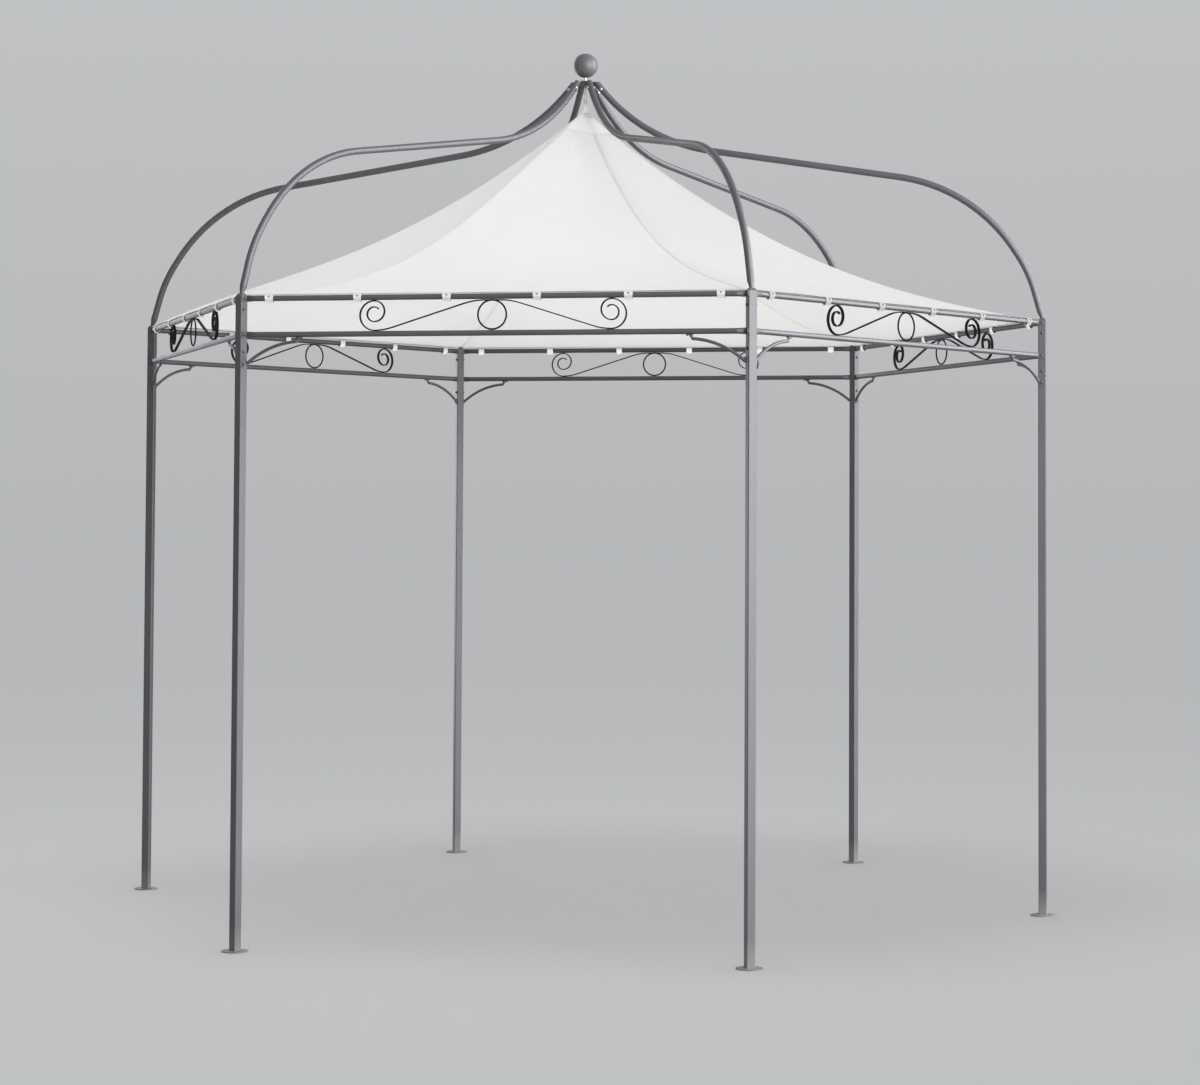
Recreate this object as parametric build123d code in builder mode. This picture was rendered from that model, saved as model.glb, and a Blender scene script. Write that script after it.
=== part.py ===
from build123d import *
import os
from math import cos, radians, sin, sqrt, tan

# Six-sided garden gazebo: square steel posts, two rails and scrollwork in each side,
# knee braces, ogee arches that meet at a hub, and a fabric roof hung under the arches.
# All sizes are in millimetres. The ground is at Z = 0, under the middle of the gazebo.

# Layout
side_count = 6
post_circle_radius = 1750
upper_rail_height = 2204
rail_spacing = 123
fit_gap = 0.2

# Posts and feet
post_width = 30
post_wall = 1.2
post_corner = 3
post_above_rail = 9
cap_height = 9
cap_top_width = 19
foot_radius = 45
foot_thickness = 4
peg_circle_radius = 33
peg_hole_radius = 4.5
peg_count = 4

# Rails, with both ends pressed flat
rail_diameter = 19
rail_wall = 1
tab_thickness = 2.4
tab_width = 25
tab_height = 22
tab_corner = 5
pressed_length = 28

# Arches
arch_diameter = 25
arch_wall = 1
plug_diameter = 14
plug_depth = 45
swage_length = 26
shoulder_inset = 49
haunch_inset = 260
crown_radius = 237
shoulder_bend = 500
haunch_bend = 630
crown_bend = 690

# How far up the arch's rise its three bends lie, and how much of a run the bends may take
shoulder_share = 0.19
haunch_share = 0.538
crown_share = 0.751
bend_share = 0.95

# Hub, ball finial and hanging cord
hub_radius = 34
hub_thickness = 16
hub_edge = 2
hub_underside_height = 3137
stub_length = 40
arch_end_radius = 45
arch_end_above_hub = 8
ball_radius = 47
stud_radius = 4
stud_height = 16
nut_width = 13
nut_thickness = 5
eye_radius = 5.5
eye_wire_radius = 1.5
eye_drop = 4
cord_radius = 1.2
cord_loop_radius = 4.5
peak_below_hub = 88

# Scrollwork between the rails: a ring of round wire, and scrolls of flat bar on edge
ring_wire = 6
bar_thickness = 4
bar_width = 10
bar_below_ring = 1
scroll_reach = 407
crest_run = 38
heel_run = 32
crest_bend = 230
heel_bend = 190
scroll_shrink = 0.705
scroll_turns = 3
scroll_tip_angle = 55

# Knee braces
brace_rod = 11
brace_leg_rod = 9
brace_drop = 101
brace_reach = 195
brace_head_drop = 24
brace_bend = 287
head_plate_length = 24
head_plate_width = 14
head_plate_thickness = 2.5
head_plate_step = 10
foot_tab_width = 18
foot_tab_height = 26
brace_plate_corner = 3

# Fabric roof and the straps that tie it to the upper rails
fabric_thickness = 3
hem_width = 12
hem_past_rail = 4
soft_gap = 0.3
roof_curve = 1.6
roof_bands = 10
peak_radius = 12
peak_height = 10
corner_cut_radius = 52
strap_thickness = 1.5
strap_width = 28
straps_per_side = 6
strap_end_inset = 100

# Worked out from the sizes above
corner_angle = 360 / side_count
half_corner = radians(corner_angle / 2)
side_length = 2 * post_circle_radius * sin(half_corner)
side_distance = post_circle_radius * cos(half_corner)
rail_radius = rail_diameter / 2
arch_radius = arch_diameter / 2
arch_bore_radius = arch_radius - arch_wall
lower_rail_height = upper_rail_height - rail_spacing
post_height = upper_rail_height + post_above_rail
cap_top = post_height + cap_height
hub_top = hub_underside_height + hub_thickness
tab_seat = post_width / 2 + fit_gap + tab_thickness / 2
tab_reach = tab_seat / cos(half_corner)

os.makedirs("parts", exist_ok=True)


def export_all_round(piece, name, first_angle):
    for number in range(side_count):
        turned = piece.rotate(Axis.Z, first_angle + number * corner_angle)
        turned.label = f"{name}_{number + 1}"
        export_step(turned, f"parts/{turned.label}.step")


def bends_that_fit(corners, bends):
    runs = [end - start for start, end in zip(corners, corners[1:])]
    needs = [0]
    for bend, before, after in zip(bends, runs, runs[1:]):
        needs.append(bend * tan(radians(before.get_angle(after)) / 2))
    needs.append(0)
    room = min(run.length / (start + end) for run, start, end in zip(runs, needs, needs[1:]))
    return [bend * min(1, bend_share * room) for bend in bends]


# The corner pieces are drawn at the post on the X axis, then turned to all the posts.
# The first post stands at the left end of the front side.
first_corner = 270 - corner_angle / 2

# Post with its foot plate and cap
with BuildPart() as post:
    with BuildSketch(Plane((post_circle_radius, 0, 0))):
        Circle(foot_radius)
        with PolarLocations(peg_circle_radius, peg_count, start_angle=45):
            Circle(peg_hole_radius, mode=Mode.SUBTRACT)
    extrude(amount=foot_thickness)
    with BuildSketch(Plane((post_circle_radius, 0, foot_thickness))):
        RectangleRounded(post_width, post_width, post_corner)
        bore_width = post_width - 2 * post_wall
        bore_corner = post_corner - post_wall
        RectangleRounded(bore_width, bore_width, bore_corner, mode=Mode.SUBTRACT)
    extrude(amount=post_height - foot_thickness)
    with BuildSketch(Plane((post_circle_radius, 0, post_height))):
        RectangleRounded(post_width, post_width, post_corner)
    with BuildSketch(Plane((post_circle_radius, 0, cap_top))):
        RectangleRounded(cap_top_width, cap_top_width, post_corner)
    loft()
    with BuildSketch(Plane((post_circle_radius, 0, post_height))):
        Circle(plug_diameter / 2 + fit_gap)
    extrude(amount=cap_height, mode=Mode.SUBTRACT)
export_all_round(post.part, "post", first_corner)

# Arch: a plug in the post, a swaged end, and a tube bent three times up to the hub
arch_foot = Vector(post_circle_radius, 0, cap_top)
arch_end = Vector(arch_end_radius, 0, hub_underside_height + arch_end_above_hub)
arch_rise = arch_end.Z - cap_top
shoulder = arch_foot + Vector(-shoulder_inset, 0, shoulder_share * arch_rise)
haunch = arch_foot + Vector(-haunch_inset, 0, haunch_share * arch_rise)
crown = Vector(crown_radius, 0, cap_top + crown_share * arch_rise)
tube_start = arch_foot + (shoulder - arch_foot).normalized() * swage_length
arch_corners = [tube_start, shoulder, haunch, crown, arch_end]
arch_bends = bends_that_fit(arch_corners, [shoulder_bend, haunch_bend, crown_bend])
with BuildPart() as arch:
    with BuildLine() as arch_line:
        FilletPolyline(*arch_corners, radius=arch_bends)
    arch_start = Plane(arch_line.line @ 0, z_dir=arch_line.line % 0)
    with BuildSketch(arch_start):
        Circle(arch_radius)
        Circle(arch_bore_radius, mode=Mode.SUBTRACT)
    sweep(path=arch_line.line)
    with BuildSketch(Plane(arch_foot)):
        Circle(plug_diameter / 2)
    with BuildSketch(arch_start):
        Circle(arch_radius)
    loft()
    with BuildSketch(Plane(arch_foot)):
        Circle(plug_diameter / 2)
    extrude(amount=-plug_depth)
export_all_round(arch.part, "arch", first_corner)

# Hub: a thick disc with one slanting stub in the end of each arch
stub_direction = (arch_end - crown).normalized()
stub_foot = arch_end - stub_direction * stub_length
with BuildPart() as stub:
    with BuildSketch(Plane(stub_foot, z_dir=stub_direction)):
        Circle(arch_bore_radius - fit_gap)
    extrude(amount=stub_length + hub_thickness)
    split(bisect_by=Plane.XY.offset(hub_top - hub_edge), keep=Keep.BOTTOM)
with BuildPart() as hub:
    with BuildSketch(Plane.XY.offset(hub_underside_height)):
        Circle(hub_radius)
    extrude(amount=hub_thickness)
    fillet(hub.edges(), hub_edge)
    with PolarLocations(0, side_count):
        add(stub.part)
    hub_eye_height = hub_underside_height - eye_drop
    with Locations(Location((0, 0, hub_eye_height), (90, 0, 0))):
        Torus(eye_radius, eye_wire_radius)
hub.part.label = "hub"
export_step(hub.part, "parts/hub.step")

# Ball finial on a stud that a nut holds to the hub
ball_height = hub_top + stud_height + sqrt(ball_radius**2 - stud_radius**2)
with BuildPart() as finial:
    with BuildSketch(Plane.XY.offset(hub_top)):
        RegularPolygon(nut_width / 2, 6, major_radius=False)
    extrude(amount=nut_thickness)
    with BuildSketch(Plane.XY.offset(hub_top)):
        Circle(stud_radius)
    extrude(amount=stud_height)
    with Locations((0, 0, ball_height)):
        Sphere(ball_radius)
finial.part.label = "finial"
export_step(finial.part, "parts/finial.step")

# The pieces of a side are drawn in the front side, which faces -Y.
front_side = Plane.XZ.offset(side_distance)
corner_direction = Vector(sin(half_corner), -cos(half_corner), 0)
face_direction = Vector(-cos(half_corner), -sin(half_corner), 0)


def post_face(height):
    post_centre = Vector(side_length / 2, -side_distance, height)
    seat = post_centre + face_direction * (post_width / 2 + fit_gap)
    return Plane(seat, x_dir=corner_direction, z_dir=face_direction)


def cross_section(station, height):
    return Plane((station, -side_distance, height), x_dir=(0, 1, 0), z_dir=(1, 0, 0))


def make_rail(height):
    tab_station = side_length / 2 - tab_reach
    tube_half = tab_station - pressed_length
    with BuildPart() as rail:
        with BuildSketch(cross_section(0, height)):
            Circle(rail_radius)
            Circle(rail_radius - rail_wall, mode=Mode.SUBTRACT)
        extrude(amount=tube_half)
        with BuildSketch(cross_section(tube_half, height)):
            Circle(rail_radius)
        with BuildSketch(cross_section(tab_station, height)):
            Ellipse(tab_thickness / 2, tab_height / 2)
        loft()
        with BuildSketch(post_face(height)):
            RectangleRounded(tab_width, tab_height, tab_corner)
        extrude(amount=tab_thickness)
        mirror(about=Plane.YZ)
    return rail.part


export_all_round(make_rail(upper_rail_height), "upper_rail", 0)
export_all_round(make_rail(lower_rail_height), "lower_rail", 0)

# Scrollwork: a ring in the middle, and a bar to each side that ends in a spiral
frieze_height = upper_rail_height - rail_spacing / 2
frieze = Plane((0, -side_distance, frieze_height), x_dir=(1, 0, 0), z_dir=(0, -1, 0))
frieze_room = rail_spacing / 2 - rail_radius - fit_gap
ring_line_radius = frieze_room - ring_wire / 2
spiral_radius = frieze_room - bar_thickness / 2
crest_height = spiral_radius - bar_below_ring
clear_of_ring = Vector(sqrt((ring_line_radius + ring_wire) ** 2 - crest_height**2), crest_height)
crest = clear_of_ring + Vector(crest_run, 0)
spiral_foot = Vector(scroll_reach, -spiral_radius)
heel = spiral_foot - Vector(heel_run, 0)
bar_bends = bends_that_fit([clear_of_ring, crest, heel, spiral_foot], [crest_bend, heel_bend])
with BuildPart() as scrollwork:
    with BuildLine(frieze) as bar_line:
        FilletPolyline(
            (bar_thickness, crest_height),
            (crest.X, crest.Y),
            (heel.X, heel.Y),
            (spiral_foot.X, spiral_foot.Y),
            radius=bar_bends,
        )
        CenterArc((scroll_reach, 0), spiral_radius, 270, 180)
        turn_radius = spiral_radius
        turn_height = spiral_radius
        upward = False
        for turn in range(scroll_turns):
            turn_radius = turn_radius * scroll_shrink
            last = turn == scroll_turns - 1
            swing = scroll_tip_angle if last else 180
            if upward:
                CenterArc((scroll_reach, turn_height + turn_radius), turn_radius, 270, swing)
                turn_height = turn_height + 2 * turn_radius
            else:
                CenterArc((scroll_reach, turn_height - turn_radius), turn_radius, 90, swing)
                turn_height = turn_height - 2 * turn_radius
            upward = not upward
    with BuildSketch(Plane(bar_line.line @ 0, x_dir=(0, 1, 0), z_dir=bar_line.line % 0)):
        Rectangle(bar_width, bar_thickness)
    sweep(path=bar_line.line)
    with Locations(frieze):
        Torus(ring_line_radius, ring_wire / 2)
    mirror(about=Plane.YZ)
export_all_round(scrollwork.part, "scrollwork", 0)

# Knee braces: a bent rod from a tab on the post to a small plate under the lower rail
brace_foot = (side_length / 2 - tab_reach, lower_rail_height - brace_drop)
brace_head = (side_length / 2 - brace_reach, lower_rail_height - brace_head_drop)
plate_station = side_length / 2 - brace_reach - head_plate_step
plate_top = lower_rail_height - rail_radius - fit_gap
foot_seat = post_face(lower_rail_height - brace_drop)
with BuildPart() as braces:
    with BuildLine(front_side) as brace_line:
        RadiusArc(brace_head, brace_foot, brace_bend)
    with BuildSketch(Plane(brace_line.line @ 0, z_dir=brace_line.line % 0)):
        Circle(brace_rod / 2)
    sweep(path=brace_line.line)
    with BuildLine(front_side) as leg_line:
        Line(brace_head, (plate_station, plate_top))
    with BuildSketch(Plane(leg_line.line @ 0, z_dir=leg_line.line % 0)):
        Circle(brace_leg_rod / 2)
    sweep(path=leg_line.line)
    with Locations((brace_head[0], -side_distance, brace_head[1])):
        Sphere(brace_rod / 2)
    with BuildSketch(Plane((plate_station, -side_distance, plate_top))):
        RectangleRounded(head_plate_length, head_plate_width, brace_plate_corner)
    extrude(amount=-head_plate_thickness)
    with BuildSketch(foot_seat):
        RectangleRounded(foot_tab_width, foot_tab_height, brace_plate_corner)
    extrude(amount=tab_thickness)
    split(bisect_by=foot_seat)
    split(bisect_by=Plane.XY.offset(plate_top), keep=Keep.BOTTOM)
    mirror(about=Plane.YZ)
export_all_round(braces.part, "knee_braces", 0)

# Fabric straps round the upper rails, in one file
strap_inner = rail_diameter + 2 * soft_gap
strap_outer = strap_inner + 2 * strap_thickness
strap_pitch = (side_length - 2 * strap_end_inset) / (straps_per_side - 1)
with BuildPart() as side_straps:
    for number in range(straps_per_side):
        station = number * strap_pitch + strap_end_inset - side_length / 2
        with BuildSketch(cross_section(station, upper_rail_height)):
            Rectangle(strap_outer, strap_outer)
            Rectangle(strap_inner, strap_inner, mode=Mode.SUBTRACT)
        extrude(amount=strap_width / 2, both=True)
with BuildPart() as straps:
    with PolarLocations(0, side_count):
        add(side_straps.part)
straps.part.label = "straps"
export_step(straps.part, "parts/straps.step")

# Fabric roof: hexagons from the hem to the peak, steeper towards the top
hem_height = upper_rail_height + strap_outer / 2 + soft_gap
hem_radius = (side_distance + hem_past_rail) / cos(half_corner)
roof_edge_height = hem_height + fabric_thickness
roof_rise = hub_underside_height - peak_below_hub - roof_edge_height
bands = [band / roof_bands for band in range(roof_bands + 1)]


def roof_height(share):
    return roof_edge_height + roof_rise * share**roof_curve


with BuildPart() as roof:
    with BuildSketch(Plane.XY.offset(hem_height)):
        RegularPolygon(hem_radius, side_count)
    extrude(amount=fabric_thickness)
    for share in bands:
        with BuildSketch(Plane.XY.offset(roof_height(share))):
            RegularPolygon(hem_radius + (peak_radius - hem_radius) * share, side_count)
    loft(ruled=True)
    with BuildSketch(Plane.XY.offset(roof_height(1))):
        Circle(peak_radius * cos(half_corner))
    extrude(amount=peak_height)
    roof_eye_height = roof_height(1) + peak_height + eye_drop
    with Locations(Location((0, 0, roof_eye_height), (90, 0, 0))):
        Torus(eye_radius, eye_wire_radius)
    inner_radius = hem_radius - hem_width
    inner_peak = peak_radius - fabric_thickness
    for share in bands:
        with BuildSketch(Plane.XY.offset(roof_height(share) - fabric_thickness)):
            RegularPolygon(inner_radius + (inner_peak - inner_radius) * share, side_count)
    loft(ruled=True, mode=Mode.SUBTRACT)
    with PolarLocations(post_circle_radius, side_count):
        Cylinder(corner_cut_radius, 2 * hub_top, mode=Mode.SUBTRACT)
roof.part.label = "roof"
export_step(roof.part, "parts/roof.step")

# Cord loop that holds the roof's peak to the hub
cord_seat = eye_radius - eye_wire_radius - soft_gap - cord_radius
loop_top = hub_eye_height - cord_seat - cord_loop_radius
loop_bottom = roof_eye_height + cord_seat + cord_loop_radius
with BuildPart() as peak_cord:
    with BuildLine(Plane.YZ) as cord_line:
        Line((cord_loop_radius, loop_bottom), (cord_loop_radius, loop_top))
        CenterArc((0, loop_top), cord_loop_radius, 0, 180)
        Line((-cord_loop_radius, loop_top), (-cord_loop_radius, loop_bottom))
        CenterArc((0, loop_bottom), cord_loop_radius, 180, 180)
    with BuildSketch(Plane(cord_line.line @ 0, z_dir=cord_line.line % 0)):
        Circle(cord_radius)
    sweep(path=cord_line.line)
peak_cord.part.label = "peak_cord"
export_step(peak_cord.part, "parts/peak_cord.step")
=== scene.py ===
from math import cos, pi, radians, sin, sqrt

import bmesh
import bpy
from mathutils import Matrix, Vector, noise


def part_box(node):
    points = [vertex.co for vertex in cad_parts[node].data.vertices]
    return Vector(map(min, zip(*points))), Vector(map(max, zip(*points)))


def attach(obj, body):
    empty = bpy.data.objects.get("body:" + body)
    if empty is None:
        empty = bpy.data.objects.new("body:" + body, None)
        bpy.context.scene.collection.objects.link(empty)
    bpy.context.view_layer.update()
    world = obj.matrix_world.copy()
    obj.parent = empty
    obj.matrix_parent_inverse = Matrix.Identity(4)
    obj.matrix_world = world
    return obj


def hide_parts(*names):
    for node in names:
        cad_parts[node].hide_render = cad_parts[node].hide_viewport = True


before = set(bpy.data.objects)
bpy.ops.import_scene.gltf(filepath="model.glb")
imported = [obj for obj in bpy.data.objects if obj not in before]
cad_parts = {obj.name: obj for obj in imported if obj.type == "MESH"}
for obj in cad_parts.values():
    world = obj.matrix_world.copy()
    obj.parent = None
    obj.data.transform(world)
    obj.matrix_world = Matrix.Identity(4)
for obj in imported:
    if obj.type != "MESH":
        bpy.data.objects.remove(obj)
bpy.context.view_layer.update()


def middleHeight(name):
    low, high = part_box(name)
    return (low.z + high.z) / 2


# Where things are, read from the frame (metres)
cornerAngles = [radians(240 + 60 * number) for number in range(6)]   # post_1 stands front left
sideAngles = [radians(270 + 60 * number) for number in range(6)]     # outward from each side
postLow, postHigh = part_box("post_3")          # the post on the +X axis
postRadius = (postLow.x + postHigh.x) / 2
sideDistance = postRadius * cos(pi / 6)
sideLength = postRadius
upperRail = middleHeight("upper_rail_1")
lowerRail = middleHeight("lower_rail_1")
roofLow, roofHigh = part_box("roof")
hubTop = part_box("hub")[1].z
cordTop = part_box("peak_cord")[1].z

# The frame's sections that bolts, screws and cloth have to meet
sections = {
    "postWidth": 0.030,
    "railRadius": 0.0095,
    "tabThickness": 0.0026,
    "archRadius": 0.0125,
    "headPlate": 0.0028,
}

# The upper end of each arch, where it takes a stub of the hub
archEnd = {"radius": 0.045, "belowHubTop": 0.008, "slope": radians(50.1)}


def polar(radius, angle, height):
    return Vector((radius * cos(angle), radius * sin(angle), height))


def outward(angle):
    return Vector((cos(angle), sin(angle), 0))


def fullTurn(count):
    # the angles of points that stand evenly round a circle
    return [2 * pi * number / count for number in range(count)]


print("stage: frame loaded")


# Shader helpers

class Value:
    # a node's output that can be used in sums
    def __init__(self, finish, socket):
        self.finish = finish
        self.socket = socket

    def maths(self, operation, first, second):
        return self.finish.node("ShaderNodeMath", {0: first, 1: second}, operation=operation)

    def __add__(self, other):
        return self.maths("ADD", self, other)

    def __sub__(self, other):
        return self.maths("SUBTRACT", self, other)

    def __rsub__(self, other):
        return self.maths("SUBTRACT", other, self)

    def __mul__(self, other):
        return self.maths("MULTIPLY", self, other)

    def __truediv__(self, other):
        return self.maths("DIVIDE", self, other)

    def __rtruediv__(self, other):
        return self.maths("DIVIDE", other, self)

    __radd__ = __add__
    __rmul__ = __mul__


class Finish:
    # one material and the nodes that make it
    def __init__(self, name, **constants):
        self.material = bpy.data.materials.new(name)
        self.material.use_nodes = True
        self.tree = self.material.node_tree
        self.shader = self.tree.nodes["Principled BSDF"]
        for label, value in constants.items():
            self.shader.inputs[label.replace("_", " ")].default_value = value

    def node(self, kind, sockets, outlet=0, **settings):
        made = self.tree.nodes.new(kind)
        for label, value in settings.items():
            setattr(made, label, value)
        for label, value in sockets.items():
            self.feed(made.inputs[label], value)
        return Value(self, made.outputs[outlet])

    def feed(self, target, value):
        if isinstance(value, Value):
            self.tree.links.new(value.socket, target)
        else:
            target.default_value = value

    def place(self, scale=(1, 1, 1)):
        coordinates = self.node("ShaderNodeTexCoord", {}, "Object")
        return self.node("ShaderNodeMapping", {"Vector": coordinates, "Scale": scale})

    def part(self, vector, axis):
        return self.node("ShaderNodeSeparateXYZ", {0: vector}, axis)

    def height(self):
        return self.part(self.place(), "Z")

    def cut(self, axis):
        # a distance in metres along or across the cloth, from the piece's own UV map
        return self.part(self.node("ShaderNodeUVMap", {}, uv_map="cut"), axis)

    def wave(self, distance, pitch):
        return self.node("ShaderNodeMath", {0: distance * (2 * pi / pitch)}, operation="SINE")

    def cloudy(self, scale, detail, where=None):
        sockets = {"Vector": where or self.place(), "Scale": scale, "Detail": detail}
        return self.node("ShaderNodeTexNoise", sockets)

    def ramp(self, signal, stops):
        made = self.node("ShaderNodeValToRGB", {0: signal})
        for element, (place, shade) in zip(made.socket.node.color_ramp.elements, stops):
            element.position = place
            element.color = (shade, shade, shade, 1)
        return made

    def blend(self, share, first, second):
        # colours are mixed by a factor, 6 and 7 being the colour inputs of a Mix node
        sockets = {0: share, 6: first, 7: second}
        return self.node("ShaderNodeMix", sockets, 2, data_type="RGBA", clamp_factor=True)

    def glow(self, share, tint):
        # lets a share of the light through, as thin cloth does
        through = self.node("ShaderNodeBsdfTranslucent", {"Color": tint})
        front = Value(self, self.shader.outputs[0])
        mixed = self.node("ShaderNodeMixShader", {0: share, 1: front, 2: through})
        self.feed(self.tree.nodes["Material Output"].inputs["Surface"], mixed)

    def relief(self, height, depth, strength, under=None):
        sockets = {"Height": height, "Distance": depth, "Strength": strength}
        if under:
            sockets["Normal"] = under
        return self.node("ShaderNodeBump", sockets)

    def paint(self, **surface):
        for label, value in surface.items():
            self.feed(self.shader.inputs[label.replace("_", " ")], value)
        return self.material


def colour(red, green, blue):
    return (red, green, blue, 1)


powderCoat = {
    "base": colour(0.029, 0.0275, 0.030),
    "worn": colour(0.042, 0.040, 0.043),
    "cloudScale": 2.3,
    "dust": colour(0.20, 0.185, 0.165),
    "dustHeight": 0.14,
    "streakScale": 9.0,
    "roughness": 0.50,
    "shine": 0.9,
    "peelScale": 420.0,
    "peelDepth": 0.00035,
}

shadedWireCoat = {                     # the scrollwork's coat is duller, and its base colour is darkened as painted shade on the thin bars
    "base": colour(0.012, 0.011, 0.011),
    "worn": colour(0.020, 0.018, 0.018),
    "roughness": 0.60,
    "shine": 0.20,
}


def makePowderCoat(name, settings):
    # satin powder coat: cloudy tone, orange peel, and a little dust near the ground
    coat = Finish(name, Metallic=0.0, IOR=1.5, Specular_IOR_Level=settings["shine"])
    tone = coat.cloudy(settings["cloudScale"], 4.0)
    wear = coat.ramp(tone, [(0.32, 0.0), (0.7, 1.0)])
    base = coat.blend(wear, settings["base"], settings["worn"])
    streaks = coat.cloudy(settings["streakScale"], 5.0, coat.place((1, 1, 0.25)))
    low = 1 - coat.height() / settings["dustHeight"]
    dusty = coat.ramp(low * (0.35 + streaks), [(0.25, 0.0), (1.0, 0.55)])
    peel = coat.cloudy(settings["peelScale"], 2.0)
    return coat.paint(
        Base_Color=coat.blend(dusty, base, settings["dust"]),
        Roughness=settings["roughness"] + 0.12 * (tone - 0.5) + 0.3 * dusty,
        Normal=coat.relief(peel, settings["peelDepth"], 0.6),
    )


zinc = {
    "dull": 0.62,                # the bloom's tone as a share of the bright metal's
    "bloomScale": 160.0,
    "bloomRoughness": 0.25,
    "scuffScale": 700.0,
    "scuffDepth": 0.0002,
}


def makeZinc(name, bright, roughness):
    # plated fasteners with a dull bloom
    plating = Finish(name, Metallic=1.0)
    bloom = plating.cloudy(zinc["bloomScale"], 4.0)
    dull = colour(*(zinc["dull"] * part for part in bright))
    scuffs = plating.cloudy(zinc["scuffScale"], 2.0, plating.place((1, 1, 0.3)))
    return plating.paint(
        Base_Color=plating.blend(bloom, dull, colour(*bright)),
        Roughness=roughness + zinc["bloomRoughness"] * bloom,
        Normal=plating.relief(scuffs, zinc["scuffDepth"], 0.5),
    )


ball = {
    "dark": colour(0.070, 0.065, 0.066),
    "light": colour(0.080, 0.074, 0.076),
    "cloudScale": 14.0,
    "roughness": 0.42,
    "grainScale": 900.0,
    "grainDepth": 0.0003,
    "radius": 0.047,
    "edge": 0.0012,              # height over which the stud's zinc gives way to the ball
    "studTint": colour(0.52, 0.51, 0.50),
}


def makeBallFinish(name, settings):
    # the ball's grey-brown moulded plastic, and bright zinc on the stud and nut under it
    finish = Finish(name, IOR=1.46, Specular_IOR_Level=0.7)
    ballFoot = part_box("finial")[1].z - 2 * settings["radius"]
    above = (finish.height() - ballFoot) / settings["edge"]
    isBall = finish.ramp(above, [(0.0, 0.0), (0.4, 1.0)])
    tone = finish.cloudy(settings["cloudScale"], 3.0)
    tint = finish.blend(tone, settings["dark"], settings["light"])
    grain = finish.cloudy(settings["grainScale"], 2.0)
    return finish.paint(
        Base_Color=finish.blend(isBall, settings["studTint"], tint),
        Metallic=1 - isBall,
        Roughness=settings["roughness"] + 0.10 * tone,
        Normal=finish.relief(grain, settings["grainDepth"], 0.35),
    )


cloth = {
    "fresh": colour(0.86, 0.86, 0.845),
    "grey": colour(0.80, 0.805, 0.79),
    "cloudScale": 1.7,
    "slubScale": 60.0,
    "roughness": 0.78,
    "glow": 0.35,                # share of the light that passes through
    "glowTint": colour(0.83, 0.83, 0.815),
    "threadPitch": 0.0011,
    "weaveDepth": 0.00022,
    "creaseScale": 5.0,
    "creaseDepth": 0.006,
}

doubledCloth = {                 # several layers sewn together let little light through
    "fresh": colour(0.875, 0.875, 0.86),
    "grey": colour(0.82, 0.82, 0.805),
    "glow": 0.11,
    "glowTint": colour(0.85, 0.85, 0.835),
}


def makeCanopyCloth(name, settings):
    # woven off-white polyester, slightly uneven in tone
    fabric = Finish(name, Sheen_Weight=0.15, Sheen_Roughness=0.5, Specular_IOR_Level=0.25)
    tone = fabric.cloudy(settings["cloudScale"], 4.0)
    slub = fabric.cloudy(settings["slubScale"], 4.0, fabric.place((1, 1, 3)))
    mottle = fabric.ramp(0.7 * tone + 0.3 * slub, [(0.3, 0.0), (0.72, 1.0)])
    waviness = fabric.cloudy(settings["creaseScale"], 3.0)
    creases = fabric.relief(waviness, settings["creaseDepth"], 0.35)
    warp = fabric.wave(fabric.cut("X"), settings["threadPitch"])
    weft = fabric.wave(fabric.cut("Y"), settings["threadPitch"])
    threads = 0.5 + 0.25 * (warp + weft)
    fabric.glow(settings["glow"], settings["glowTint"])
    return fabric.paint(
        Base_Color=fabric.blend(mottle, settings["grey"], settings["fresh"]),
        Roughness=settings["roughness"] + 0.1 * slub,
        Normal=fabric.relief(threads, settings["weaveDepth"], 0.5, creases),
    )


strapWebbing = {
    "soiled": colour(0.80, 0.80, 0.78),
    "fresh": colour(0.87, 0.87, 0.855),
    "soilScale": 40.0,
    "roughness": 0.7,
    "ribPitch": 0.0016,
    "ribDepth": 0.0004,
}


def makeWebbing(name, settings):
    # strap webbing with ribs across it
    band = Finish(name, Sheen_Weight=0.2, Specular_IOR_Level=0.3)
    ribs = band.wave(band.cut("Y"), settings["ribPitch"])
    soil = band.cloudy(settings["soilScale"], 4.0)
    return band.paint(
        Base_Color=band.blend(soil, settings["soiled"], settings["fresh"]),
        Roughness=settings["roughness"] + 0.2 * soil,
        Normal=band.relief(0.5 + 0.5 * ribs, settings["ribDepth"], 0.7),
    )


yarn = {
    "shade": 0.8,                # painted shade: the tone where the twist's bump is low, as a share of the yarn's
    "twistScale": 1400.0,
    "twistDepth": 0.0003,
    "roughness": 0.65,
}


def makeThread(name, tint):
    # sewing thread and cord, twisted fine, with painted shade where the twist's bump is low
    thread = Finish(name, Specular_IOR_Level=0.3)
    twist = thread.cloudy(yarn["twistScale"], 2.0)
    # painted shade: the yarn's tone darkened where the twist's bump dips
    hollowShade = colour(*(yarn["shade"] * part for part in tint))
    return thread.paint(
        Base_Color=thread.blend(twist, hollowShade, colour(*tint)),
        Roughness=yarn["roughness"] + 0.2 * twist,
        Normal=thread.relief(twist, yarn["twistDepth"], 0.8),
    )


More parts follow.
